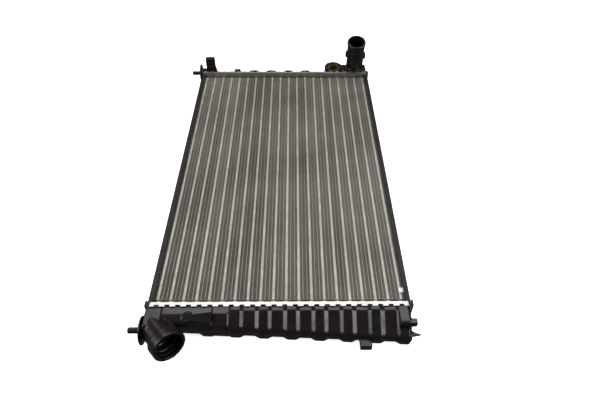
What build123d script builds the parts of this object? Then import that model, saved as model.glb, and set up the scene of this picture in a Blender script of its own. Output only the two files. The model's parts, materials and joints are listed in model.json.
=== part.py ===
"""Car radiator with round tubes, flat fins and two plastic tanks, lying flat.

X runs across the tubes, Y along them and Z through the thickness of the core.
Everything is built about the middle of the core, and then moved so that the origin is at the
bottom centre of the whole radiator. The near end (-Y) has the outlet, the far end (+Y) the inlet.
"""

from build123d import *
import math
import os

# Core
TUBE_PITCH = 18.5
UPPER_TUBES = 20
LOWER_TUBES = 19
ROW_HEIGHT = 5.5
TUBE_RADIUS = 4.25
TUBE_WALL = 0.4
FLARE_RADIUS = 4.9
FLARE_LENGTH = 1.9
FLARE_START = 0.2
CORE_THICKNESS = 24.0
FIN_WIDTH = 368.0
FIN_LENGTH = 594.0
FIN_PLATES = 39
PLATE_THICKNESS = 0.85
TAB_STRIP_WIDTH = 3.9
TAB_STRIP_THICKNESS = 0.5
TURBULATOR_WIDTH = 6.8
TURBULATOR_THICKNESS = 0.8

# Headers: distances are measured outwards from the header face that looks at the core
HEADER_FACE = 305.0
HEADER_LENGTH = 377.0
HEADER_HEIGHT = 38.6
HEADER_SHEET = 1.2
HEADER_DEPTH = 7.2
HEADER_CORNER = 6.0
HEADER_HOLE_RADIUS = 5.25
CRIMP_LIP = 2.0
CRIMP_PITCH = 15.1
CRIMP_NOTCH = 7.0
CRIMP_NOTCH_DEPTH = 2.8

# Gaskets
GASKET_THICKNESS = 2.0
GASKET_GAP = 0.3
COLLAR_LENGTH = 2.2

# Tanks
TANK_FOOT_START = HEADER_SHEET + GASKET_THICKNESS
TANK_FOOT_END = HEADER_DEPTH - HEADER_SHEET
TANK_FOOT_GAP = 0.2
TANK_BODY_START = 7.6
TANK_NECK_HALF_HEIGHT = 16.2
TANK_HALF_HEIGHT = 17.2
TANK_NECK_LENGTH = 370.0
TANK_WALL = 2.8
TANK_SLANT = 30.0
TANK_CORNERS = (4.0, 8.0, 8.0)
TANK_LEAST_RADIUS = 0.5
TANK_END_INSET = 2.0
BAND_PROUD = 3.2
BAND_PITCH = 39.6
BAND_FLAT = 12.0
BAND_SLOPE = 6.0
OUTLET_HALF_LENGTH = 186.0
OUTLET_SLANT_START = 14.0
OUTLET_LEDGE = 19.5
OUTLET_TANK_DEPTH = 38.7
OUTLET_TANK_TAPER = 0.05
INLET_HALF_LENGTH = 186.0
INLET_SLANT_START = 9.0
INLET_TANK_DEPTH = 35.0
OUTLET_BANDS = [17.2 + BAND_PITCH * step for step in range(-2, 5)]
INLET_BANDS = [8.0 + BAND_PITCH * step for step in range(-2, 2)]
UNDER_BAND_X = OUTLET_BANDS[0] - BAND_PITCH
REST_HALF_HEIGHT = TANK_HALF_HEIGHT + BAND_PROUD

# Locating pins, on the ends that are lowest in the car
PIN_RADIUS = 4.5
PIN_LENGTH = 19.5
PIN_TIP_RADIUS = 1.5
PIN_HEIGHT = 0.0
DISC_RADIUS = PIN_HEIGHT + REST_HALF_HEIGHT
DISC_THICKNESS = 2.5
PIN_ROOT_RADIUS = 11.0
PIN_ROOT_LENGTH = 8.0
OUTLET_PIN = (-190.0, 33.7)
INLET_PIN = (-194.0, 31.5)

# Outlet socket
OUTLET_BASE = (-179.5, 25.5, 0.0)
OUTLET_AXIS = (0.65, 0.745, 0.14)
OUTLET_LENGTH = 50.0
OUTLET_BODY_RADIUS = 20.2
OUTLET_COLLAR_RADIUS = 24.3
OUTLET_COLLAR_LENGTH = 17.0
OUTLET_LIP = 1.0
OUTLET_SOCKET_RADIUS = 19.5
OUTLET_SOCKET_DEPTH = 26.0
OUTLET_BORE_RADIUS = 16.0
OUTLET_BORE_START = 12.0
OUTLET_GROOVE_RADIUS = 20.8
OUTLET_GROOVE_WIDTH = 3.0
OUTLET_GROOVE_DEPTH = 8.0

# Inlet stub
INLET_BASE = (161.7, 36.6, 1.0)
INLET_AXIS = (-0.03, -0.28, 0.96)
INLET_LENGTH = 94.0
INLET_BODY_RADIUS = 19.0
INLET_BEAD_RADIUS = 20.3
INLET_BEAD_LAND = 6.0
INLET_LIP = 1.0
INLET_BORE_RADIUS = 16.6
INLET_LUG_HEIGHT = 58.0
INLET_LUG_SIZE = (7.0, 9.0, 13.0)
INLET_LUG_DROP = 6.0

# Blocks on the tanks
BLOCK_HALF_HEIGHT = REST_HALF_HEIGHT
BLOCK_CORNER = 4.0
POCKET_HALF_HEIGHT = 14.4
OUTLET_BLOCK = (-187.5, -165.0, 41.0)
OUTLET_END_BLOCK = (168.0, 182.0, 37.0)
INLET_BLOCK = (130.0, 186.0, 38.0)
INLET_PIN_BLOCK = (-188.0, -176.0, 34.0)
INLET_PIN_BLOCK_HALF_HEIGHT = 13.0
PAD = (-94.0, -72.0)
PAD_PROUD = 2.0

# Small fittings
DRAIN_X = -128.0
DRAIN_OUT = 23.0
DRAIN_BOSS_RADIUS = 7.6
DRAIN_BOSS_RISE = 3.0
DRAIN_BORE_RADIUS = 5.0
DRAIN_SHANK_RADIUS = 3.6
DRAIN_HEAD_RADIUS = 6.5
DRAIN_HEAD_HEIGHT = 5.0
DRAIN_LEVER_LENGTH = 34.0
DRAIN_LEVER_ROOT = 7.0
DRAIN_LEVER_END = 15.0
DRAIN_LEVER_THICKNESS = 2.6
DRAIN_DEPTH = 11.0
DRAIN_RUNNING_GAP = 0.05
DRAIN_HEAD_GAP = 0.3
DRAIN_LANDS = ((4.0, 6.0), (8.2, DRAIN_DEPTH))
BORE_REACH = 9.0
SCREW_SLOT_WIDTH = 1.6
SCREW_SLOT_DEPTH = 1.5
BLEED_X = -109.5
BLEED_OUT = 24.0
BLEED_BOSS_RADIUS = 8.0
BLEED_BOSS_RISE = 1.5
BLEED_BORE_RADIUS = 5.05
BLEED_SHANK_RADIUS = 5.0
BLEED_HEAD_RADIUS = 7.0
BLEED_HEAD_HEIGHT = 3.0
BLEED_HEAD_ROUNDING = 2.0
BLEED_LENGTH = 12.0
BLEED_RING_SECTION = 1.5
BLEED_NECK_STEP = 1.4
BLEED_RING_INSET = 0.6
RING_SQUEEZE = 0.02
RING_CORNER = 0.45
RING_GAP = 0.1
SWITCH_X = 112.4
SWITCH_OUT = 29.2
SWITCH_TOP = 20.0
SWITCH_BOSS_RADIUS = 20.0
SWITCH_BOSS_HEIGHT = 26.0
SWITCH_HOLE_DEPTH = 24.0
SWITCH_RECESS = 2.5
SWITCH_INSERT_RADIUS = 12.6
SWITCH_THREAD_RADIUS = 10.2
SWITCH_INSERT_LENGTH = 14.6
BRACKET_X = -169.0
BRACKET_WIDTH = 20.0
BRACKET_TOP = 45.5
BRACKET_OUT = (14.0, 26.0)
BRACKET_WALL = 3.0
BRACKET_POCKET_LOW = 22.0
GUSSET_WIDTH = 5.0
GUSSET_HEIGHTS = (14.0, 40.0)
LUG_X = 121.0
LUG_SIZE = (16.3, 24.0, 10.0)
LUG_MIDDLE_OUT = 45.0
LUG_MIDDLE_HEIGHT = -11.0
STOP = ((183.0, 193.8), (23.0, 32.0), (3.0, 12.0))
TONGUE_TIP = (200.5, 43.0)
TONGUE_ROOT_X = 184.0
TONGUE_OUT = (36.0, 46.0)
TONGUE_HEIGHTS = (-1.5, 0.7)
ARC_RIB_CENTRE = (187.5, 28.0)
ARC_RIB_RADII = (15.6, 17.4)
ARC_RIB_PROUD = 1.4
ARC_RIB_X = (168.0, 184.0)

# Side plates and clips
PLATE_WEB_X = 184.2
PLATE_WEB = 2.0
PLATE_INNER_X = 181.0
PLATE_OUTER_X = 188.4
PLATE_FLANGE = 2.0
PLATE_FLANGE_GAP = 0.4
PLATE_END_GAP = 0.5
PLATE_RIBS = 9
PLATE_RIB = 2.0
PLATE_RIB_INSET = 0.5
PLATE_RIB_PITCH = 66.0
CLIP_INNER_X = 188.7
CLIP_OUTER_X = 190.3
CLIP_LIP_X = 185.5
CLIP_LIP = 1.0
CLIP_GAP = 0.1
CLIP_OUT = (-2.2, -0.8, 7.4)
CLIP_TONGUE_X = (186.6, 189.0)
CLIP_TONGUE_OUT = -5.0

LABEL_SIZE = (7.6, 8.0, 0.2)
LABEL_CENTRE = (178.0, -281.0)


def tube_row(count):
    """The X positions of the tubes in one row."""
    return [(index - (count - 1) / 2) * TUBE_PITCH for index in range(count)]


def tube_centres():
    """The (X, Z) centre of every tube."""
    upper = [(x, ROW_HEIGHT) for x in tube_row(UPPER_TUBES)]
    lower = [(x, -ROW_HEIGHT) for x in tube_row(LOWER_TUBES)]
    return upper + lower


def along_y(sketch, start, end):
    """A prism of a sketch drawn in X and Z, between two Y positions."""
    plane = Plane(origin=(0, end, 0), x_dir=(1, 0, 0), z_dir=(0, -1, 0))
    return extrude(plane * sketch, amount=end - start)


def outwards(side, near, far):
    """The two Y positions of a stretch given outwards from a header face, lowest first."""
    return sorted((side * (HEADER_FACE + near), side * (HEADER_FACE + far)))


def block(x_range, y_range, z_range):
    """A rectangular block between two corners."""
    low = (x_range[0], y_range[0], z_range[0])
    size = (x_range[1] - x_range[0], y_range[1] - y_range[0], z_range[1] - z_range[0])
    return Pos(*low) * Box(*size, align=(Align.MIN, Align.MIN, Align.MIN))


def point(side, place):
    """A point given as X, distance out from the header face, and Z."""
    return Vector(place[0], side * (HEADER_FACE + place[1]), place[2])


def direction(side, axis):
    """A unit direction given as X, outwards, and Z."""
    return Vector(axis[0], side * axis[1], axis[2]).normalized()


def rod(start, axis, length, radius):
    """A round rod from a point along a direction."""
    plane = Plane(origin=start, z_dir=axis)
    return plane * Cylinder(radius, length, align=(Align.CENTER, Align.CENTER, Align.MIN))


def holes(radius):
    """One circle for each tube."""
    return Sketch() + [Pos(x, z) * Circle(radius) for x, z in tube_centres()]


def fin_pack():
    """The fins as evenly spaced plates, tied together by the strips that their tabs make."""
    plate = Rectangle(FIN_WIDTH, CORE_THICKNESS) - holes(TUBE_RADIUS)
    spacing = (FIN_LENGTH - PLATE_THICKNESS) / (FIN_PLATES - 1)
    first = along_y(plate, -FIN_LENGTH / 2, -FIN_LENGTH / 2 + PLATE_THICKNESS)
    plates = [Pos(0, spacing * index, 0) * first for index in range(FIN_PLATES)]
    strips = []
    for face, count in ((1, UPPER_TUBES), (-1, LOWER_TUBES)):
        height = face * (CORE_THICKNESS - TAB_STRIP_THICKNESS) / 2
        for x in tube_row(count):
            strip = Box(TAB_STRIP_WIDTH, FIN_LENGTH, TAB_STRIP_THICKNESS)
            strips.append(Pos(x, 0, height) * strip)
    solids = [shape.solid() for shape in plates + strips]
    return solids[0].fuse(*solids[1:])


def tube(x, z):
    """A round tube with both ends flared inside the tanks."""
    straight = HEADER_FACE + TANK_FOOT_START + FLARE_START
    end = straight + FLARE_LENGTH
    bore = TUBE_RADIUS - TUBE_WALL
    outline = Polyline(
        (bore, -straight),
        (FLARE_RADIUS - TUBE_WALL, -end),
        (FLARE_RADIUS, -end),
        (TUBE_RADIUS, -straight),
        (TUBE_RADIUS, straight),
        (FLARE_RADIUS, end),
        (FLARE_RADIUS - TUBE_WALL, end),
        (bore, straight),
        close=True,
    )
    return Pos(x, 0, z) * revolve(make_face(outline), axis=Axis.Y)


def turbulator(x, z):
    """A flat strip that stirs the coolant inside a tube."""
    return Pos(x, 0, z) * Box(TURBULATOR_WIDTH, 2 * HEADER_FACE, TURBULATOR_THICKNESS)


def row(maker, count, height):
    """One row of tubes or turbulators, as separate solids."""
    return Compound(children=[maker(x, height) for x in tube_row(count)])


def header(side):
    """A pressed tray with tube holes, and a rim whose tabs are crimped over the tank's foot."""
    outer = RectangleRounded(HEADER_LENGTH, HEADER_HEIGHT, HEADER_CORNER)
    floor = outer - holes(HEADER_HOLE_RADIUS)
    wall = outer - RectangleRounded(
        HEADER_LENGTH - 2 * HEADER_SHEET,
        HEADER_HEIGHT - 2 * HEADER_SHEET,
        HEADER_CORNER - HEADER_SHEET,
    )
    rim = outer - RectangleRounded(
        HEADER_LENGTH - 2 * CRIMP_LIP,
        HEADER_HEIGHT - 2 * CRIMP_LIP,
        HEADER_CORNER - CRIMP_LIP,
    )
    tray = along_y(floor, *outwards(side, 0, HEADER_SHEET))
    tray += along_y(wall, *outwards(side, HEADER_SHEET, HEADER_DEPTH - HEADER_SHEET))
    tray += along_y(rim, *outwards(side, HEADER_DEPTH - HEADER_SHEET, HEADER_DEPTH))
    notch_y = outwards(side, HEADER_DEPTH - CRIMP_NOTCH_DEPTH, HEADER_DEPTH + 1)
    count = int(HEADER_LENGTH / CRIMP_PITCH)
    notches = []
    for index in range(count):
        middle = (index - (count - 1) / 2) * CRIMP_PITCH
        span = (middle - CRIMP_NOTCH / 2, middle + CRIMP_NOTCH / 2)
        notches.append(block(span, notch_y, (-HEADER_HEIGHT, HEADER_HEIGHT)))
    end_span = (-HEADER_LENGTH, HEADER_LENGTH)
    notches.append(block(end_span, notch_y, (-CRIMP_NOTCH / 2, CRIMP_NOTCH / 2)))
    return tray - notches


def gasket(side):
    """A rubber sheet under the tank's foot, with a collar in each header hole."""
    sheet = RectangleRounded(
        HEADER_LENGTH - 2 * HEADER_SHEET - GASKET_GAP,
        HEADER_HEIGHT - 2 * HEADER_SHEET - GASKET_GAP,
        HEADER_CORNER - HEADER_SHEET,
    ) - holes(TUBE_RADIUS)
    collars = holes(HEADER_HOLE_RADIUS) - holes(TUBE_RADIUS)
    body = along_y(sheet, *outwards(side, HEADER_SHEET, TANK_FOOT_START))
    body += along_y(collars, *outwards(side, HEADER_SHEET - COLLAR_LENGTH, HEADER_SHEET))
    return body


def slant_start(side, x):
    """How far out a tank's flat top runs before its upper side slants down."""
    if side > 0:
        return INLET_SLANT_START
    return OUTLET_LEDGE if x <= PAD[1] else OUTLET_SLANT_START


def slant_frame(side, x, out):
    """A plane on the slanting upper side of a tank, square to it."""
    slant = math.radians(TANK_SLANT)
    height = TANK_HALF_HEIGHT - (out - slant_start(side, x)) * math.tan(slant)
    normal = Vector(0, side * math.sin(slant), math.cos(slant))
    return Plane(origin=point(side, (x, out, height)), x_dir=(1, 0, 0), z_dir=normal)


def tank_section(side, x, start, depth, proud):
    """The face of the tank's section at one X position."""
    slant = math.radians(TANK_SLANT)
    half = TANK_HALF_HEIGHT + proud
    shoulder = slant_start(side, x) + proud * math.tan(slant / 2)
    nose = TANK_HALF_HEIGHT - (depth - slant_start(side, x) - proud) * math.tan(slant)
    line = FilletPolyline(
        (start, half),
        (shoulder, half),
        (depth + proud, nose),
        (depth + proud, -half),
        (start, -half),
        radius=[max(corner + proud, TANK_LEAST_RADIUS) for corner in TANK_CORNERS],
    )
    outline = line + Line((start, -half), (start, half))
    plane = Plane(
        origin=(x, side * HEADER_FACE, 0),
        x_dir=(0, side, 0),
        z_dir=(side, 0, 0),
    )
    return plane * make_face(outline)


def tank_stations(bands, half_length):
    """The X positions along a tank and how far each stands proud, from end to end."""
    last_full = half_length - TANK_END_INSET
    stations = [(-half_length, -TANK_END_INSET), (-last_full, 0)]
    for middle in bands:
        foot = BAND_FLAT / 2 + BAND_SLOPE
        stations += [(middle - foot, 0), (middle - BAND_FLAT / 2, BAND_PROUD)]
        stations += [(middle + BAND_FLAT / 2, BAND_PROUD), (middle + foot, 0)]
    inside = [station for station in stations if station[0] < last_full]
    return inside + [(last_full, 0), (half_length, -TANK_END_INSET)]


def outlet_shell(start, inset):
    """The banded body of the outlet tank, drawn in by an inset from its outer skin."""
    sections = []
    for x, proud in tank_stations(OUTLET_BANDS, OUTLET_HALF_LENGTH - inset):
        sections.append(tank_section(-1, x, start, outlet_depth(x), proud - inset))
    return loft(sections, ruled=True)


def inlet_shell(start, inset):
    """The banded body of the inlet tank, drawn in by an inset from its outer skin."""
    sections = []
    for x, proud in tank_stations(INLET_BANDS, INLET_HALF_LENGTH - inset):
        sections.append(tank_section(1, x, start, INLET_TANK_DEPTH, proud - inset))
    return loft(sections, ruled=True)


def tank_foot(side):
    """The flange that the header's tabs hold down, and the neck between the tabs."""
    foot = RectangleRounded(
        HEADER_LENGTH - 2 * HEADER_SHEET - 2 * TANK_FOOT_GAP,
        HEADER_HEIGHT - 2 * HEADER_SHEET - 2 * TANK_FOOT_GAP,
        HEADER_CORNER - HEADER_SHEET - TANK_FOOT_GAP,
    )
    neck = Rectangle(TANK_NECK_LENGTH, 2 * TANK_NECK_HALF_HEIGHT)
    body = along_y(foot, *outwards(side, TANK_FOOT_START, TANK_FOOT_END))
    body += along_y(neck, *outwards(side, TANK_FOOT_END, TANK_BODY_START))
    return body


def rounded_block(side, size, half_height):
    """A block on a tank, with its long edges rounded. Size is X from, X to and reach outwards."""
    low, high = outwards(side, TANK_BODY_START, size[2])
    sketch = RectangleRounded(high - low, 2 * half_height, BLOCK_CORNER)
    plane = Plane(origin=(size[0], (low + high) / 2, 0), x_dir=(0, 1, 0), z_dir=(1, 0, 0))
    return extrude(plane * sketch, amount=size[1] - size[0])


def block_pocket(side, size):
    """The hollow inside such a block."""
    x_range = (size[0] + TANK_WALL, size[1] - TANK_WALL)
    y_range = outwards(side, TANK_FOOT_START + GASKET_THICKNESS, size[2] - TANK_WALL)
    return block(x_range, y_range, (-POCKET_HALF_HEIGHT, POCKET_HALF_HEIGHT))


def locating_pin(side, disc_x, out):
    """The pin, with its round flange, that locates the radiator in the car."""
    left = Vector(-1, 0, 0)
    disc = point(side, (disc_x, out, PIN_HEIGHT))
    pieces = rod(disc, left, DISC_THICKNESS, DISC_RADIUS)
    pin = rod(disc, left, DISC_THICKNESS + PIN_LENGTH, PIN_RADIUS)
    tip = pin.edges().filter_by(GeomType.CIRCLE).sort_by(Axis.X)[0]
    pieces += fillet(tip, PIN_TIP_RADIUS)
    pieces += rod(disc - left * PIN_ROOT_LENGTH, left, PIN_ROOT_LENGTH, PIN_ROOT_RADIUS)
    return pieces


def outlet_depth(x):
    """The outlet tank gets deeper from its outlet end to its other end."""
    return OUTLET_TANK_DEPTH + OUTLET_TANK_TAPER * x


def outlet_tank():
    """The near tank: banded shell, outlet socket, drain boss, locating pin and lugs."""
    side = -1
    tank = outlet_shell(TANK_BODY_START, 0)
    tank += tank_foot(side)
    tank += rounded_block(side, OUTLET_BLOCK, BLOCK_HALF_HEIGHT)
    tank += rounded_block(side, OUTLET_END_BLOCK, BLOCK_HALF_HEIGHT)
    tank += outlet_pad(side)
    tank += under_band(side)
    tank += locating_pin(side, *OUTLET_PIN)
    tank += outlet_body(side)
    tank += drain_boss(side)
    tank += outlet_lugs(side)
    tank += arc_rib(side)
    tank -= outlet_shell(TANK_FOOT_START - 1, TANK_WALL)
    tank -= block_pocket(side, OUTLET_BLOCK)
    tank -= outlet_bores(side)
    tank -= drain_bore(side)
    return tank


def outlet_pad(side):
    """A low flat-sided pad between two bands."""
    sections = []
    for x in PAD:
        depth = outlet_depth(x)
        sections.append(tank_section(side, x, TANK_BODY_START, depth, PAD_PROUD))
    return loft(sections, ruled=True)


def under_band(side):
    """The last band, which only runs round the underside and the lower front."""
    foot = BAND_FLAT / 2 + BAND_SLOPE
    stations = [(-foot, 0), (-BAND_FLAT / 2, BAND_PROUD), (BAND_FLAT / 2, BAND_PROUD), (foot, 0)]
    sections = []
    for offset, proud in stations:
        x = UNDER_BAND_X + offset
        sections.append(tank_section(side, x, TANK_BODY_START, outlet_depth(x), proud))
    reach = 2 * OUTLET_TANK_DEPTH
    low_half = block((-reach + UNDER_BAND_X, 0), outwards(side, 0, reach), (-reach, 0))
    return loft(sections, ruled=True) & low_half


def outlet_body(side):
    """The outside of the outlet socket: a slanting spout with a collar at its mouth."""
    base = point(side, OUTLET_BASE)
    axis = direction(side, OUTLET_AXIS)
    spout = rod(base, axis, OUTLET_LENGTH - OUTLET_LIP, OUTLET_BODY_RADIUS)
    collar_start = base + axis * (OUTLET_LENGTH - OUTLET_COLLAR_LENGTH)
    spout += rod(collar_start, axis, OUTLET_COLLAR_LENGTH, OUTLET_COLLAR_RADIUS)
    reach = 2 * OUTLET_LENGTH
    room = block((OUTLET_BLOCK[0], 0), outwards(side, 0, reach), (-reach, reach))
    return spout & room


def outlet_bores(side):
    """The socket for the hose end, its ring groove, and the passage into the tank."""
    base = point(side, OUTLET_BASE)
    axis = direction(side, OUTLET_AXIS)
    mouth = base + axis * (OUTLET_LENGTH + 1)
    bores = rod(mouth, axis * -1, OUTLET_SOCKET_DEPTH + 1, OUTLET_SOCKET_RADIUS)
    groove = base + axis * (OUTLET_LENGTH - OUTLET_GROOVE_DEPTH)
    bores += rod(groove, axis, OUTLET_GROOVE_WIDTH, OUTLET_GROOVE_RADIUS)
    passage = base + axis * OUTLET_BORE_START
    bores += rod(passage, axis, OUTLET_LENGTH - OUTLET_BORE_START, OUTLET_BORE_RADIUS)
    return bores


def standing(plane, radius, low, high):
    """A round rod standing on a plane, between two heights above it."""
    return plane * Pos(0, 0, low) * Cylinder(
        radius, high - low, align=(Align.CENTER, Align.CENTER, Align.MIN)
    )


def drain_frame():
    """The seat of the drain tap on the outlet tank."""
    return slant_frame(-1, DRAIN_X, DRAIN_OUT)


def drain_boss(side):
    """The boss that the drain tap turns in."""
    return standing(drain_frame(), DRAIN_BOSS_RADIUS, -DRAIN_DEPTH, DRAIN_BOSS_RISE)


def drain_bore(side):
    """The hole through the drain boss."""
    low = -DRAIN_DEPTH - BORE_REACH
    return standing(drain_frame(), DRAIN_BORE_RADIUS, low, DRAIN_BOSS_RISE + 1)


def drain_tap():
    """A tap with a grooved shank, a slotted round head and a lever that widens to its end."""
    plane = drain_frame()
    seat = DRAIN_BOSS_RISE + DRAIN_HEAD_GAP
    top = seat + DRAIN_HEAD_HEIGHT
    tap = standing(plane, DRAIN_SHANK_RADIUS, -DRAIN_DEPTH, seat)
    for low, high in DRAIN_LANDS:
        land_top = min(high - DRAIN_DEPTH, seat) if high < DRAIN_DEPTH else seat
        land = DRAIN_BORE_RADIUS - DRAIN_RUNNING_GAP
        tap += standing(plane, land, low - DRAIN_DEPTH, land_top)
    tap += standing(plane, DRAIN_HEAD_RADIUS, seat, top)
    lever = make_face(Polyline(
        (0, -DRAIN_LEVER_ROOT / 2),
        (DRAIN_LEVER_LENGTH, -DRAIN_LEVER_END / 2),
        (DRAIN_LEVER_LENGTH, DRAIN_LEVER_END / 2),
        (0, DRAIN_LEVER_ROOT / 2),
        close=True,
    ))
    low = top - DRAIN_LEVER_THICKNESS
    tap += plane * Pos(0, 0, low) * extrude(lever, amount=DRAIN_LEVER_THICKNESS)
    return tap - screw_slot(plane, top, DRAIN_HEAD_RADIUS)


def screw_slot(plane, top, head_radius):
    """The cut of a screwdriver slot across a head."""
    slot = Box(SCREW_SLOT_WIDTH, 3 * head_radius, 2 * SCREW_SLOT_DEPTH)
    return plane * Pos(0, 0, top) * slot


def drain_o_ring():
    """The ring in the groove of the drain tap's shank."""
    outer = DRAIN_BORE_RADIUS - RING_SQUEEZE
    inner = DRAIN_SHANK_RADIUS + RING_SQUEEZE
    low = DRAIN_LANDS[0][1] - DRAIN_DEPTH + RING_GAP
    high = DRAIN_LANDS[1][0] - DRAIN_DEPTH - RING_GAP
    return seal_ring(drain_frame(), outer, inner, low, high)


def seal_ring(plane, outer, inner, low, high):
    """A rubber ring with rounded corners, squeezed into its groove."""
    middle = (outer + inner) / 2
    profile = RectangleRounded(outer - inner, high - low, RING_CORNER)
    section = Pos(middle, (low + high) / 2) * profile
    upright = Plane(origin=(0, 0, 0), x_dir=(1, 0, 0), z_dir=(0, -1, 0))
    return plane * revolve(upright * section, axis=Axis.Z)


def outlet_lugs(side):
    """The lug under the tank's nose, and the stop and tongue at its deep end."""
    centre = point(side, (LUG_X, LUG_MIDDLE_OUT, LUG_MIDDLE_HEIGHT))
    lugs = Pos(*centre) * Box(*LUG_SIZE)
    lugs += block(STOP[0], outwards(side, *STOP[1]), STOP[2])
    tongue = make_face(Polyline(
        (TONGUE_ROOT_X, side * (HEADER_FACE + TONGUE_OUT[0])),
        (TONGUE_TIP[0], side * (HEADER_FACE + TONGUE_TIP[1])),
        (TONGUE_ROOT_X, side * (HEADER_FACE + TONGUE_OUT[1])),
        close=True,
    ))
    low, high = TONGUE_HEIGHTS
    lugs += Pos(0, 0, low) * extrude(tongue, amount=high - low, dir=(0, 0, 1))
    return lugs


def arc_rib(side):
    """A curved rib on the slanting side at the outlet tank's deep end."""
    ring = Circle(ARC_RIB_RADII[1]) - Circle(ARC_RIB_RADII[0])
    centre = point(side, (*ARC_RIB_CENTRE, 0))
    upright = Pos(*centre) * extrude(ring, amount=REST_HALF_HEIGHT)
    sections = []
    for x in ARC_RIB_X:
        depth = outlet_depth(x)
        sections.append(tank_section(side, x, TANK_BODY_START, depth, ARC_RIB_PROUD))
    return upright & loft(sections, ruled=True)


def inlet_tank():
    """The far tank: banded shell, inlet stub, switch and bleed bosses, bracket and pin."""
    side = 1
    tank = inlet_shell(TANK_BODY_START, 0)
    tank += tank_foot(side)
    tank += rounded_block(side, INLET_BLOCK, BLOCK_HALF_HEIGHT)
    tank += rounded_block(side, INLET_PIN_BLOCK, INLET_PIN_BLOCK_HALF_HEIGHT)
    tank += locating_pin(side, *INLET_PIN)
    tank += inlet_body(side)
    tank += switch_boss(side)
    tank += bleed_boss(side)
    tank += bracket(side)
    tank -= inlet_shell(TANK_FOOT_START - 1, TANK_WALL)
    tank -= block_pocket(side, INLET_BLOCK)
    tank -= inlet_bore(side)
    tank -= standing(switch_frame(side), SWITCH_INSERT_RADIUS, -SWITCH_HOLE_DEPTH, 1)
    tank -= standing(bleed_frame(), BLEED_BORE_RADIUS, -BLEED_LENGTH - BORE_REACH, 1)
    return tank


def inlet_body(side):
    """The outside of the inlet stub, with its elbow, its bead and two lugs."""
    base = point(side, INLET_BASE)
    axis = direction(side, INLET_AXIS)
    stub = rod(base, axis, INLET_LENGTH, INLET_BODY_RADIUS)
    stub += Pos(*base) * Sphere(INLET_BODY_RADIUS)
    bead = base + axis * (INLET_LENGTH - INLET_BEAD_LAND - INLET_LIP)
    stub += rod(bead, axis, INLET_BEAD_LAND, INLET_BEAD_RADIUS)
    frame = Plane(origin=base + axis * INLET_LUG_HEIGHT, x_dir=(1, 0, 0), z_dir=axis)
    stub += frame * Pos(-INLET_BODY_RADIUS, 0, 0) * Box(*INLET_LUG_SIZE)
    stub += frame * Pos(INLET_BODY_RADIUS, 0, -INLET_LUG_DROP) * Box(*INLET_LUG_SIZE)
    return stub


def inlet_bore(side):
    """The passage through the inlet stub and its elbow."""
    base = point(side, INLET_BASE)
    bore = rod(base, direction(side, INLET_AXIS), INLET_LENGTH + 1, INLET_BORE_RADIUS)
    return bore + Pos(*base) * Sphere(INLET_BORE_RADIUS)


def switch_frame(side):
    """The top face of the fan switch boss."""
    return Plane(origin=point(side, (SWITCH_X, SWITCH_OUT, SWITCH_TOP)))


def switch_boss(side):
    """The round boss that holds the brass insert."""
    return standing(switch_frame(side), SWITCH_BOSS_RADIUS, -SWITCH_BOSS_HEIGHT, 0)


def switch_insert():
    """The brass insert, with a hole for the fan switch, sunk into its boss."""
    frame = switch_frame(1)
    low = -SWITCH_RECESS - SWITCH_INSERT_LENGTH
    insert = standing(frame, SWITCH_INSERT_RADIUS, low, -SWITCH_RECESS)
    return insert - standing(frame, SWITCH_THREAD_RADIUS, low - 1, 0)


def bleed_frame():
    """The seat of the bleed screw, on top of its boss on the inlet tank's slanting side."""
    seat = slant_frame(1, BLEED_X, BLEED_OUT)
    return seat.offset(BLEED_BOSS_RISE)


def bleed_boss(side):
    """The boss that the bleed screw is turned into."""
    return standing(bleed_frame(), BLEED_BOSS_RADIUS, -BLEED_LENGTH, 0)


def bleed_screw():
    """A slotted screw with a ring under its domed head."""
    frame = bleed_frame()
    low = BLEED_RING_SECTION
    top = low + BLEED_HEAD_HEIGHT
    screw = standing(frame, BLEED_SHANK_RADIUS, -BLEED_LENGTH, 0)
    screw += standing(frame, BLEED_SHANK_RADIUS - BLEED_NECK_STEP, 0, low)
    head = Cylinder(BLEED_HEAD_RADIUS, BLEED_HEAD_HEIGHT)
    dome = fillet(head.edges().sort_by(Axis.Z)[-1], BLEED_HEAD_ROUNDING)
    screw += frame * Pos(0, 0, (low + top) / 2) * dome
    return screw - screw_slot(frame, top, BLEED_HEAD_RADIUS)


def bleed_o_ring():
    """The ring under the bleed screw's head."""
    inner = BLEED_SHANK_RADIUS - BLEED_NECK_STEP + RING_SQUEEZE
    outer = BLEED_HEAD_RADIUS - BLEED_RING_INSET
    return seal_ring(bleed_frame(), outer, inner, 0, BLEED_RING_SECTION)


def bracket(side):
    """The upright that carries the fan cowl, with a pocket open towards the far side."""
    low, high = outwards(side, *BRACKET_OUT)
    left = BRACKET_X - BRACKET_WIDTH / 2
    right = BRACKET_X + BRACKET_WIDTH / 2
    body = block((left, right), (low, high), (0, BRACKET_TOP))
    gusset = make_face(Polyline(
        (right - 1, GUSSET_HEIGHTS[0]),
        (right + GUSSET_WIDTH, GUSSET_HEIGHTS[0]),
        (right - 1, GUSSET_HEIGHTS[1]),
        close=True,
    ))
    body += along_y(gusset, low, low + BRACKET_WALL)
    pocket_heights = (BRACKET_POCKET_LOW, BRACKET_TOP - BRACKET_WALL)
    inner = (left + BRACKET_WALL, right - BRACKET_WALL)
    return body - block(inner, (low + BRACKET_WALL, high + 1), pocket_heights)


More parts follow.
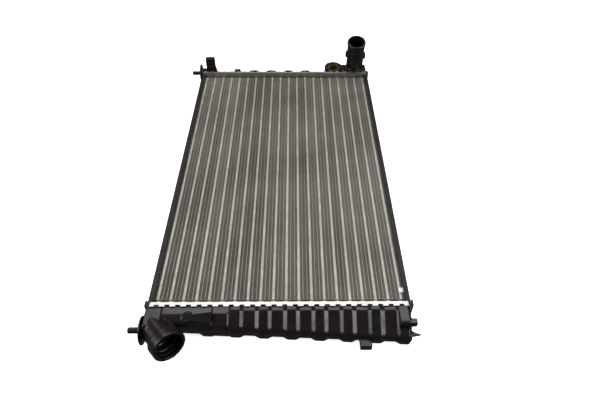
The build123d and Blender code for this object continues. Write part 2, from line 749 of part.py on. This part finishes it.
def side_plate(edge):
    """A plastic channel whose lips grip the fins and whose ribs stiffen it."""
    half = CORE_THICKNESS / 2 + PLATE_FLANGE_GAP
    length = 2 * (HEADER_FACE - PLATE_END_GAP)
    ys = (-length / 2, length / 2)
    top = half + PLATE_FLANGE
    plate = block((PLATE_WEB_X, PLATE_WEB_X + PLATE_WEB), ys, (-top, top))
    plate += block((PLATE_INNER_X, PLATE_OUTER_X), ys, (half, top))
    plate += block((PLATE_INNER_X, PLATE_OUTER_X), ys, (-top, -half))
    for index in range(PLATE_RIBS):
        y = (index - (PLATE_RIBS - 1) / 2) * PLATE_RIB_PITCH
        rib = (y - PLATE_RIB / 2, y + PLATE_RIB / 2)
        plate += block((PLATE_WEB_X, PLATE_OUTER_X - PLATE_RIB_INSET), rib, (-half, half))
    return plate if edge > 0 else plate.mirror(Plane.YZ)


def clip(edge, side):
    """A corner clip that hooks over a header's end, with a tongue in the side plate."""
    near, hook, far = CLIP_OUT
    half = HEADER_HEIGHT / 2 + CLIP_GAP
    top = half + CLIP_LIP
    shell = block((CLIP_INNER_X, CLIP_OUTER_X), outwards(side, near, far), (-top, top))
    for low, high in ((half, top), (-top, -half)):
        shell += block((CLIP_LIP_X, CLIP_OUTER_X), outwards(side, hook, far), (low, high))
    inner_half = CORE_THICKNESS / 2
    bridge = (CLIP_TONGUE_X[0], CLIP_OUTER_X)
    shell += block(bridge, outwards(side, near, hook), (-inner_half, inner_half))
    tongue_y = outwards(side, CLIP_TONGUE_OUT, near)
    shell += block(CLIP_TONGUE_X, tongue_y, (-inner_half, inner_half))
    shell = shell.solid()
    return shell if edge > 0 else shell.mirror(Plane.YZ)


def side_plate_clips():
    """The four corner clips."""
    return Compound(children=[clip(edge, side) for edge in (-1, 1) for side in (-1, 1)])


def label():
    """A small blank sticker on the fins."""
    x, y = LABEL_CENTRE
    return Pos(x, y, (CORE_THICKNESS + LABEL_SIZE[2]) / 2) * Box(*LABEL_SIZE)


def parts():
    """Every piece by name, about the middle of the core."""
    return {
        "fin_pack": fin_pack(),
        "tubes_upper_row": row(tube, UPPER_TUBES, ROW_HEIGHT),
        "tubes_lower_row": row(tube, LOWER_TUBES, -ROW_HEIGHT),
        "turbulators_upper_row": row(turbulator, UPPER_TUBES, ROW_HEIGHT),
        "turbulators_lower_row": row(turbulator, LOWER_TUBES, -ROW_HEIGHT),
        "near_header": header(-1),
        "far_header": header(1),
        "near_gasket": gasket(-1),
        "far_gasket": gasket(1),
        "outlet_tank": outlet_tank(),
        "inlet_tank": inlet_tank(),
        "lower_side_plate": side_plate(-1),
        "upper_side_plate": side_plate(1),
        "side_plate_clips": side_plate_clips(),
        "drain_tap": drain_tap(),
        "drain_o_ring": drain_o_ring(),
        "bleed_screw": bleed_screw(),
        "bleed_o_ring": bleed_o_ring(),
        "switch_insert": switch_insert(),
        "label": label(),
    }


def origin_shift(shapes):
    """The move that puts the bottom centre of the whole radiator at the origin."""
    boxes = [shape.bounding_box(optimal=True) for shape in shapes.values()]
    low = [min(tuple(box.min)[axis] for box in boxes) for axis in range(3)]
    high = [max(tuple(box.max)[axis] for box in boxes) for axis in range(3)]
    return Pos(-(low[0] + high[0]) / 2, -(low[1] + high[1]) / 2, -low[2])


if __name__ == "__main__":
    os.makedirs("parts", exist_ok=True)
    pieces = parts()
    shift = origin_shift(pieces)
    for name, shape in pieces.items():
        export_step(shift * shape, f"parts/{name}.step")
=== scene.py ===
import json
import math
import random

import bmesh
import bpy
from mathutils import Matrix, Vector


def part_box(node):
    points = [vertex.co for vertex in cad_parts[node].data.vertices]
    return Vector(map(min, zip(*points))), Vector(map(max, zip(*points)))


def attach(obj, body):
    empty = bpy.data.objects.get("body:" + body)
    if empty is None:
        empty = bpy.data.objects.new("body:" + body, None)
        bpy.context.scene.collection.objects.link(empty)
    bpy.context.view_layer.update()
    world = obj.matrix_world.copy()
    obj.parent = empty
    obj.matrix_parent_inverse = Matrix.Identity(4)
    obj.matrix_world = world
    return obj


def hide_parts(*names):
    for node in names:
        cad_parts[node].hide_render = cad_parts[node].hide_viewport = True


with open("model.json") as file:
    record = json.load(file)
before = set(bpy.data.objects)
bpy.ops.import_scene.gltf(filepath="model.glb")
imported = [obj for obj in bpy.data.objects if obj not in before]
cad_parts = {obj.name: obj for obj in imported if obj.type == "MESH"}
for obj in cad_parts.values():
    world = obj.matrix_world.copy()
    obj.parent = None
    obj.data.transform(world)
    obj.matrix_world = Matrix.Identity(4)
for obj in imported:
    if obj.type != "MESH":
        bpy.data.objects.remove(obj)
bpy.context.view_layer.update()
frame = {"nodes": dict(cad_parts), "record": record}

MM = 0.001
BODY = "radiator"

# Fins, in metres. Lean, jitter and drop spread are the spreads of random draws
FIN_PITCH = 1.35 * MM
FIN_SHEET = 0.16 * MM
FIN_COLUMNS = 40
FIN_BELOW_TOP = 0.15 * MM
FIN_DROP = -0.1 * MM
FIN_DROP_SPREAD = 0.03 * MM
FIN_LEAN = 0.05 * MM
FIN_JITTER = 0.03 * MM
FIN_SWAY = 0.07 * MM
FIN_SWAY_RADIANS = 40
FIN_PHASE_RANGE = 6.28
FINS_PER_PIECE = 75

# Every fourth fin stands proud. That is invented, to hint at the photo's cross pattern
PROUD_FIN = 0.15 * MM
PROUD_SHEET = 2 * FIN_SHEET
PROUD_FIN_EVERY = 4

# Tab columns over the tubes and the ridges between them, in metres
TUBE_PITCH = 18.5 * MM
BAR_COUNT = 20
BAR_WIDTH = 3.7 * MM
BAR_DEPTH = 0.45 * MM
BAR_SHEET = 0.35 * MM
BAR_SAG = 0.12 * MM
RIDGE_WIDTH = 0.8 * MM
RIDGE_DEPTH = 0.5 * MM
RIDGE_SHEET = 0.3 * MM
RIDGE_SAG = 0.15 * MM
RIDGE_SHARES = (1 / 3, 2 / 3)
TAB_REACH = 0.42
TAB_END_SAG = 0.4
TAB_WANDER = 0.05 * MM
TAB_LEVEL_SPREAD = 0.04 * MM
TAB_TILT = 0.03 * MM

# The CAD's outlet socket has a wall thinner than the voxel, which leaves a hole in the
# moulded copy. The sleeve closes it, so the socket is narrower there than in the CAD
SLEEVE_OVERLAP = 1.5 * MM
SLEEVE_LENGTH = 11 * MM
SLEEVE_OUT = 0.6 * MM
SLEEVE_IN = 1.6 * MM
SLEEVE_SEGMENTS = 64

# Edges of the CAD nodes and of their moulded copies
WELD_DISTANCE = 0.01 * MM
EDGE_ANGLE = 35
HEADER_EDGE = 0.45 * MM
PLATE_EDGE = 0.4 * MM
TANK_VOXEL = 0.9 * MM
TANK_ROUNDS = 4
FITTING_VOXEL = 0.25 * MM
FITTING_ROUNDS = 3

rng = random.Random(7)


# ---------------------------------------------------------------- materials

NOISE_ROUGHNESS = 0.55
NOISE_SPAN = (0.3, 0.7)
FIN_SPAN = (0.38, 0.62)

def new_material(name):
    """A new material, its nodes, its links and its Principled shader."""
    material = bpy.data.materials.new(name)
    material.use_nodes = True
    nodes = material.node_tree.nodes
    shader = nodes["Principled BSDF"]
    return material, nodes, material.node_tree.links, shader


def object_noise(nodes, links, scale, detail, stretch=(1, 1, 1)):
    """Noise fixed to the object's own coordinates, stretched along an axis if asked."""
    place = nodes.new("ShaderNodeTexCoord")
    mapping = nodes.new("ShaderNodeMapping")
    mapping.inputs["Scale"].default_value = stretch
    noise = nodes.new("ShaderNodeTexNoise")
    noise.inputs["Scale"].default_value = scale
    noise.inputs["Detail"].default_value = detail
    noise.inputs["Roughness"].default_value = NOISE_ROUGHNESS
    links.new(place.outputs["Object"], mapping.inputs["Vector"])
    links.new(mapping.outputs["Vector"], noise.inputs["Vector"])
    return noise


def ramp_between(nodes, links, source, low, high, span=NOISE_SPAN):
    """A colour ramp from one colour to another, driven by a value."""
    ramp = nodes.new("ShaderNodeValToRGB")
    ramp.color_ramp.elements[0].position = span[0]
    ramp.color_ramp.elements[1].position = span[1]
    ramp.color_ramp.elements[0].color = (*low, 1)
    ramp.color_ramp.elements[1].color = (*high, 1)
    links.new(source, ramp.inputs["Fac"])
    return ramp


def range_between(nodes, links, source, low, high):
    """A value mapped from noise to a range."""
    spread = nodes.new("ShaderNodeMapRange")
    spread.inputs["From Min"].default_value = NOISE_SPAN[0]
    spread.inputs["From Max"].default_value = NOISE_SPAN[1]
    spread.inputs["To Min"].default_value = low
    spread.inputs["To Max"].default_value = high
    links.new(source, spread.inputs["Value"])
    return spread


def add_bump(nodes, links, shader, height, distance, strength):
    """A bump from a height."""
    bump = nodes.new("ShaderNodeBump")
    bump.inputs["Distance"].default_value = distance
    bump.inputs["Strength"].default_value = strength
    links.new(height, bump.inputs["Height"])
    links.new(bump.outputs["Normal"], shader.inputs["Normal"])


def metal(name, dark, light, rough, stretch, grain_scale):
    """Rolled sheet metal: drawn grain, cloudy tarnish and uneven roughness."""
    material, nodes, links, shader = new_material(name)
    shader.inputs["Metallic"].default_value = 1.0
    cloud = object_noise(nodes, links, scale=28, detail=5)
    grain = object_noise(nodes, links, scale=grain_scale, detail=3, stretch=stretch)
    colour = ramp_between(nodes, links, cloud.outputs["Fac"], dark, light)
    links.new(colour.outputs["Color"], shader.inputs["Base Color"])
    spread = range_between(nodes, links, grain.outputs["Fac"], rough[0], rough[1])
    links.new(spread.outputs["Result"], shader.inputs["Roughness"])
    add_bump(nodes, links, shader, grain.outputs["Fac"], distance=0.04 * MM, strength=0.5)
    return material


def plastic(name, dark, light, rough, gloss=0.3):
    """Moulded plastic: faint flow marks, a fine spark-eroded grain and uneven gloss."""
    material, nodes, links, shader = new_material(name)
    cloud = object_noise(nodes, links, scale=40, detail=5)
    skin = object_noise(nodes, links, scale=1400, detail=2)
    flow = object_noise(nodes, links, scale=60, detail=3, stretch=(0.35, 1, 1))
    colour = ramp_between(nodes, links, cloud.outputs["Fac"], dark, light)
    links.new(colour.outputs["Color"], shader.inputs["Base Color"])
    spread = range_between(nodes, links, flow.outputs["Fac"], rough[0], rough[1])
    links.new(spread.outputs["Result"], shader.inputs["Roughness"])
    add_bump(nodes, links, shader, skin.outputs["Fac"], distance=0.02 * MM, strength=0.6)
    shader.inputs["Specular IOR Level"].default_value = gloss
    return material


def fin_material():
    """Thin fin stock: grey-brown rolled aluminium, dull, in bands that differ a little."""
    material, nodes, links, shader = new_material("fin_stock")
    shader.inputs["Metallic"].default_value = 0.75
    along = object_noise(nodes, links, scale=26, detail=4, stretch=(1, 0.02, 1))
    cloud = object_noise(nodes, links, scale=9, detail=5)
    total = nodes.new("ShaderNodeMath")
    total.operation = "ADD"
    links.new(along.outputs["Fac"], total.inputs[0])
    links.new(cloud.outputs["Fac"], total.inputs[1])
    half = nodes.new("ShaderNodeMath")
    half.operation = "MULTIPLY"
    half.inputs[1].default_value = 0.5
    links.new(total.outputs[0], half.inputs[0])
    dark, light = (0.27, 0.248, 0.215), (0.47, 0.435, 0.39)
    colour = ramp_between(nodes, links, half.outputs[0], dark, light, FIN_SPAN)
    links.new(colour.outputs["Color"], shader.inputs["Base Color"])
    grain = object_noise(nodes, links, scale=700, detail=2)
    spread = range_between(nodes, links, grain.outputs["Fac"], low=0.42, high=0.62)
    links.new(spread.outputs["Result"], shader.inputs["Roughness"])
    add_bump(nodes, links, shader, grain.outputs["Fac"], distance=0.03 * MM, strength=0.4)
    return material


def label_material():
    """A blank white paper sticker, slightly soiled."""
    material, nodes, links, shader = new_material("label_paper")
    soil = object_noise(nodes, links, scale=300, detail=6)
    soiled, clean = (0.72, 0.71, 0.68), (0.9, 0.9, 0.88)
    colour = ramp_between(nodes, links, soil.outputs["Fac"], soiled, clean)
    links.new(colour.outputs["Color"], shader.inputs["Base Color"])
    fibre = object_noise(nodes, links, scale=2500, detail=3)
    spread = range_between(nodes, links, fibre.outputs["Fac"], low=0.5, high=0.7)
    links.new(spread.outputs["Result"], shader.inputs["Roughness"])
    add_bump(nodes, links, shader, fibre.outputs["Fac"], distance=0.02 * MM, strength=0.5)
    return material


materials = {
    "fins": fin_material(),
    "bars": metal(
        "tab_metal", dark=(0.64, 0.61, 0.57), light=(0.82, 0.79, 0.74),
        rough=(0.42, 0.58), stretch=(1, 8, 1), grain_scale=500,
    ),
    "ridges": metal(
        "ridge_metal", dark=(0.46, 0.43, 0.39), light=(0.62, 0.59, 0.54),
        rough=(0.5, 0.7), stretch=(1, 8, 1), grain_scale=500,
    ),
    "tubes": metal(
        "tube_metal", dark=(0.55, 0.54, 0.51), light=(0.72, 0.71, 0.68),
        rough=(0.3, 0.45), stretch=(8, 1, 8), grain_scale=300,
    ),
    "header": metal(
        "header_metal", dark=(0.46, 0.445, 0.43), light=(0.58, 0.56, 0.54),
        rough=(0.34, 0.48), stretch=(1, 10, 1), grain_scale=250,
    ),
    "brass": metal(
        "brass_metal", dark=(0.62, 0.42, 0.13), light=(0.85, 0.62, 0.26),
        rough=(0.2, 0.34), stretch=(1, 1, 12), grain_scale=300,
    ),
    "tank": plastic(
        "tank_plastic", dark=(0.0065, 0.0036, 0.0036), light=(0.0105, 0.0064, 0.0062),
        rough=(0.24, 0.36), gloss=0.4,
    ),
    "side_plate": plastic(
        "side_plate_plastic", dark=(0.008, 0.008, 0.008), light=(0.015, 0.014, 0.013),
        rough=(0.42, 0.58),
    ),
    "clip": plastic(
        "clip_plastic", dark=(0.006, 0.006, 0.006), light=(0.012, 0.012, 0.012),
        rough=(0.4, 0.55),
    ),
    "tap": plastic(
        "tap_plastic", dark=(0.006, 0.005, 0.005), light=(0.012, 0.010, 0.010),
        rough=(0.25, 0.4),
    ),
    "turbulator": plastic(
        "turbulator_plastic", dark=(0.6, 0.59, 0.55), light=(0.72, 0.71, 0.66),
        rough=(0.5, 0.6),
    ),
    "rubber": plastic(
        "black_rubber", dark=(0.012, 0.012, 0.012), light=(0.03, 0.03, 0.03),
        rough=(0.6, 0.8),
    ),
    "label": label_material(),
}


# ---------------------------------------------------------------- mesh helpers


def mesh_object(name, bm, material):
    """A mesh piece in the scene, with its material."""
    mesh = bpy.data.meshes.new(name)
    bm.to_mesh(mesh)
    bm.free()
    piece = bpy.data.objects.new(name, mesh)
    bpy.context.scene.collection.objects.link(piece)
    mesh.materials.append(material)
    return piece


def set_material(node, material):
    """Gives a CAD node's object one material in every slot."""
    piece = frame["nodes"][node]
    if not piece.material_slots:
        piece.data.materials.append(material)
    for held in piece.material_slots:
        held.material = material


def soften(node, width):
    """Breaks the sharp edges of a CAD node with a small bevel."""
    piece = frame["nodes"][node]
    weld = piece.modifiers.new("weld", "WELD")
    weld.merge_threshold = WELD_DISTANCE
    bevel = piece.modifiers.new("broken edges", "BEVEL")
    bevel.width = width
    bevel.segments = 2
    bevel.limit_method = "ANGLE"
    bevel.angle_limit = math.radians(EDGE_ANGLE)
    bevel.harden_normals = True


def socket_sleeve(bm):
    """Thickens the thin wall at the bottom of the outlet socket."""
    mount = next(m for m in frame["record"]["mounts"] if m["name"] == "outlet_socket")
    axis = Vector(mount["axis"]).normalized()
    across = axis.orthogonal().normalized()
    upward = axis.cross(across)
    radius = mount["dims"]["r_mm"] * MM
    bottom = Vector(mount["pos_m"]) - axis * mount["dims"]["length_mm"] / 2 * MM
    start, end = bottom - axis * SLEEVE_OVERLAP, bottom + axis * SLEEVE_LENGTH
    turns = [2 * math.pi * step / SLEEVE_SEGMENTS for step in range(SLEEVE_SEGMENTS)]
    rings = []
    for place, reach in (
        (start, radius + SLEEVE_OUT),
        (end, radius + SLEEVE_OUT),
        (end, radius - SLEEVE_IN),
        (start, radius - SLEEVE_IN),
    ):
        rings.append([
            bm.verts.new(place + (across * math.cos(turn) + upward * math.sin(turn)) * reach)
            for turn in turns
        ])
    for ring, following in zip(rings, rings[1:] + rings[:1]):
        for step in range(SLEEVE_SEGMENTS):
            after = (step + 1) % SLEEVE_SEGMENTS
            bm.faces.new((ring[step], ring[after], following[after], following[step]))


def moulded(name, node, voxel, rounds, material):
    """A moulded copy of a CAD node, with every edge rounded as a mould leaves it."""
    source = frame["nodes"][node]
    bm = bmesh.new()
    bm.from_mesh(source.data)
    bmesh.ops.remove_doubles(bm, verts=bm.verts, dist=WELD_DISTANCE)
    if node == "outlet_tank":
        socket_sleeve(bm)
    piece = mesh_object(name, bm, material)
    remesh = piece.modifiers.new("remesh", "REMESH")
    remesh.mode = "VOXEL"
    remesh.voxel_size = voxel
    smooth = piece.modifiers.new("smooth", "SMOOTH")
    smooth.factor = 0.5
    smooth.iterations = rounds
    apply_modifiers(piece)
    piece.data.shade_smooth()
    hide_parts(node)
    return piece


def apply_modifiers(piece):
    """Makes a piece's modifiers part of its mesh."""
    depsgraph = bpy.context.evaluated_depsgraph_get()
    result = bpy.data.meshes.new_from_object(piece.evaluated_get(depsgraph))
    piece.modifiers.clear()
    old = piece.data
    piece.data = result
    bpy.data.meshes.remove(old)


# ---------------------------------------------------------------- core


fin_low, fin_high = (Vector(corner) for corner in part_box("fin_pack"))
core_middle = (fin_low + fin_high) / 2
core_top = fin_high.z
core_bottom = fin_low.z


def fin_positions():
    """The Y position of every fin, from near to far."""
    length = fin_high.y - fin_low.y
    count = int(length / FIN_PITCH)
    return [fin_low.y + length * (index + 0.5) / count for index in range(count)]


def fin(bm, y, lift, sheet):
    """One fin: a thin upright sheet whose top edge wanders a little."""
    rows = []
    phase = rng.uniform(0, FIN_PHASE_RANGE)
    lean = rng.gauss(0, FIN_LEAN)
    top = core_top - FIN_BELOW_TOP + lift
    for index in range(FIN_COLUMNS + 1):
        share = index / FIN_COLUMNS
        x = fin_low.x + (fin_high.x - fin_low.x) * share
        wave = FIN_SWAY * math.sin(share * FIN_SWAY_RADIANS + phase)
        sway = lean + wave + rng.gauss(0, FIN_JITTER)
        corners = (
            (x, y + sway - sheet / 2, top),
            (x, y + sway + sheet / 2, top),
            (x, y + sheet / 2, core_bottom),
            (x, y - sheet / 2, core_bottom),
        )
        rows.append([bm.verts.new(corner) for corner in corners])
    for left, right in zip(rows, rows[1:]):
        for a in range(4):
            b = (a + 1) % 4
            bm.faces.new((left[a], left[b], right[b], right[a]))
    bm.faces.new(rows[0][::-1])
    bm.faces.new(rows[-1])


def build_fins():
    """The fins, in a few pieces of neighbouring fins."""
    places = fin_positions()
    for start in range(0, len(places), FINS_PER_PIECE):
        bm = bmesh.new()
        for number, y in enumerate(places[start:start + FINS_PER_PIECE], start):
            if number % PROUD_FIN_EVERY == 0:
                fin(bm, y, PROUD_FIN, PROUD_SHEET)
            else:
                fin(bm, y, rng.gauss(FIN_DROP, FIN_DROP_SPREAD), FIN_SHEET)
        name = f"fins_{start // FINS_PER_PIECE + 1}"
        piece = mesh_object(name, bm, materials["fins"])
        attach(piece, BODY)
        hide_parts("fin_pack")


def strip(bm, x, width, height, thickness, face, sag):
    """A run of folded tabs across every fin gap: a strip stepped at each fin."""
    rows = []
    for y in fin_positions():
        for offset, drop in ((-TAB_REACH, 0.0), (0.0, sag), (TAB_REACH, TAB_END_SAG * sag)):
            wander = rng.gauss(0, TAB_WANDER)
            level = height - face * (drop + abs(rng.gauss(0, TAB_LEVEL_SPREAD)))
            ring = []
            for side, deep in ((-1, 0), (1, 0), (1, 1), (-1, 1)):
                tilt = rng.gauss(0, TAB_TILT)
                ring.append(bm.verts.new((
                    x + wander + side * width / 2,
                    y + offset * FIN_PITCH,
                    level - face * deep * thickness + tilt * (1 - deep),
                )))
            rows.append(ring)
    for near, far in zip(rows, rows[1:]):
        for a in range(4):
            b = (a + 1) % 4
            bm.faces.new((near[a], near[b], far[b], far[a]))
    bm.faces.new(rows[0][::-1])
    bm.faces.new(rows[-1])


def column_positions(count):
    """The X positions of the tab columns on one face of the core."""
    return [core_middle.x + (index - (count - 1) / 2) * TUBE_PITCH for index in range(count)]


def build_strips():
    """The bright tab columns over the tubes, and the fainter ridges between them."""
    for face, height, count in ((1, core_top, BAR_COUNT), (-1, core_bottom, BAR_COUNT - 1)):
        label = "upper" if face > 0 else "lower"
        bars = bmesh.new()
        ridges = bmesh.new()
        bar_level = height - face * BAR_DEPTH
        ridge_level = height - face * RIDGE_DEPTH
        columns = column_positions(count)
        for x in columns:
            strip(bars, x, BAR_WIDTH, bar_level, BAR_SHEET, face, BAR_SAG)
        for x in columns[:-1]:
            for share in RIDGE_SHARES:
                place = x + TUBE_PITCH * share
                strip(ridges, place, RIDGE_WIDTH, ridge_level, RIDGE_SHEET, face, RIDGE_SAG)
        bmesh.ops.recalc_face_normals(bars, faces=bars.faces)
        bmesh.ops.recalc_face_normals(ridges, faces=ridges.faces)
        for name, bm, key in (
            (f"tab_columns_{label}", bars, "bars"),
            (f"fin_ridges_{label}", ridges, "ridges"),
        ):
            piece = mesh_object(name, bm, materials[key])
            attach(piece, BODY)
            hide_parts("fin_pack")


build_fins()
build_strips()


# ---------------------------------------------------------------- carried-over nodes


for node, key in (
    ("tubes_upper_row", "tubes"),
    ("tubes_lower_row", "tubes"),
    ("turbulators_upper_row", "turbulator"),
    ("turbulators_lower_row", "turbulator"),
    ("near_header", "header"),
    ("far_header", "header"),
    ("near_gasket", "rubber"),
    ("far_gasket", "rubber"),
    ("lower_side_plate", "side_plate"),
    ("upper_side_plate", "side_plate"),
    ("side_plate_clips", "clip"),
    ("drain_o_ring", "rubber"),
    ("bleed_o_ring", "rubber"),
    ("switch_insert", "brass"),
    ("label", "label"),
):
    set_material(node, materials[key])

for node in ("near_header", "far_header"):
    soften(node, HEADER_EDGE)
for node in ("lower_side_plate", "upper_side_plate", "side_plate_clips"):
    soften(node, PLATE_EDGE)


# ---------------------------------------------------------------- moulded pieces


for name, node, body in (
    ("outlet_tank_moulding", "outlet_tank", BODY),
    ("inlet_tank_moulding", "inlet_tank", BODY),
):
    piece = moulded(name, node, TANK_VOXEL, TANK_ROUNDS, materials["tank"])
    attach(piece, body)

for name, node, body in (
    ("drain_tap_moulding", "drain_tap", "drain_tap"),
    ("bleed_screw_moulding", "bleed_screw", "bleed_screw"),
):
    piece = moulded(name, node, FITTING_VOXEL, FITTING_ROUNDS, materials["tap"])
    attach(piece, body)


# ---------------------------------------------------------------- studio

# Places are in metres, powers in watts. Sideways and back are from the core's near end
# for the side lights and from the core's middle for the rear light
SIDE_LIGHT_OUT = 1.35
SIDE_LIGHT_NEARER = 0.3
SIDE_LIGHT_HEIGHT = 0.95
SIDE_LIGHT_SIZE = (0.7, 1.1)
SIDE_LIGHT_POWER = 18
REAR_LIGHT_BEYOND = 1.1
REAR_LIGHT_HEIGHT = 2.15
REAR_LIGHT_SIZE = (2.6, 0.8)
REAR_LIGHT_POWER = 30
WHITE = (1, 1, 1, 1)
WORLD_STRENGTH = 0.12
FLOOR_HALF_SIZE = 6
FLOOR_COLOUR = (0.95, 0.95, 0.95, 1)
FLOOR_ROUGHNESS = 0.9
FLOOR_GLOW = 0.85

def area_light(name, place, target, size, power):
    """A soft box aimed at a point."""
    data = bpy.data.lights.new(name, "AREA")
    data.shape = "RECTANGLE"
    data.size = size[0]
    data.size_y = size[1]
    data.energy = power
    light = bpy.data.objects.new(name, data)
    light.location = place
    light.rotation_euler = (Vector(target) - Vector(place)).to_track_quat("-Z", "Y").to_euler()
    bpy.context.scene.collection.objects.link(light)


def floor():
    """A pale floor that glows, and that reflections and bounced light do not see."""
    bm = bmesh.new()
    bmesh.ops.create_grid(bm, x_segments=8, y_segments=8, size=FLOOR_HALF_SIZE)
    mesh = bpy.data.meshes.new("studio_floor")
    bm.to_mesh(mesh)
    bm.free()
    piece = bpy.data.objects.new("studio_floor", mesh)
    bpy.context.scene.collection.objects.link(piece)
    material, _, _, shader = new_material("pale_floor")
    shader.inputs["Base Color"].default_value = FLOOR_COLOUR
    shader.inputs["Roughness"].default_value = FLOOR_ROUGHNESS
    shader.inputs["Emission Color"].default_value = WHITE
    shader.inputs["Emission Strength"].default_value = FLOOR_GLOW
    mesh.materials.append(material)
    piece.visible_glossy = False
    piece.visible_diffuse = False


floor()
world = bpy.data.worlds.new("studio")
world.use_nodes = True
background = world.node_tree.nodes["Background"]
background.inputs["Color"].default_value = WHITE
background.inputs["Strength"].default_value = WORLD_STRENGTH
bpy.context.scene.world = world

near_end = (core_middle.x, fin_low.y, core_middle.z)
for side, name in ((-1, "left"), (1, "right")):
    place = (
        core_middle.x + side * SIDE_LIGHT_OUT,
        fin_low.y - SIDE_LIGHT_NEARER,
        SIDE_LIGHT_HEIGHT,
    )
    area_light(name, place, near_end, SIDE_LIGHT_SIZE, SIDE_LIGHT_POWER)
rear_place = (core_middle.x, core_middle.y + REAR_LIGHT_BEYOND, REAR_LIGHT_HEIGHT)
area_light("rear", rear_place, near_end, REAR_LIGHT_SIZE, REAR_LIGHT_POWER)

scene = bpy.context.scene
scene.view_settings.view_transform = "Standard"


# ---------------------------------------------------------------- camera


# Place and angles were fitted to the part's edges in the photo, on an earlier version of
# the part. The lens was held at 30 mm in that fit. Place is in metres, angles in degrees
CAMERA_FROM_NEAR_EDGE = Vector((0.0214, -0.3973, 0.6268))
CAMERA_PITCH = 45.336
CAMERA_YAW = -0.923
CAMERA_ROLL = 0.557
CAMERA_LENS_MM = 30.0
SENSOR_MM = 36.0

camera_data = bpy.data.cameras.new("camera")
camera_data.sensor_width = SENSOR_MM
camera_data.lens = CAMERA_LENS_MM
camera = bpy.data.objects.new("camera", camera_data)
near_edge = Vector((core_middle.x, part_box("near_header")[1][1], core_middle.z))
turn = Matrix.Rotation(math.radians(CAMERA_YAW), 4, "Z")
tilt = Matrix.Rotation(math.radians(90 - CAMERA_PITCH), 4, "X")
roll = Matrix.Rotation(math.radians(CAMERA_ROLL), 4, "Z")
camera.matrix_world = Matrix.Translation(near_edge + CAMERA_FROM_NEAR_EDGE) @ turn @ tilt @ roll
bpy.context.scene.collection.objects.link(camera)
scene.camera = camera
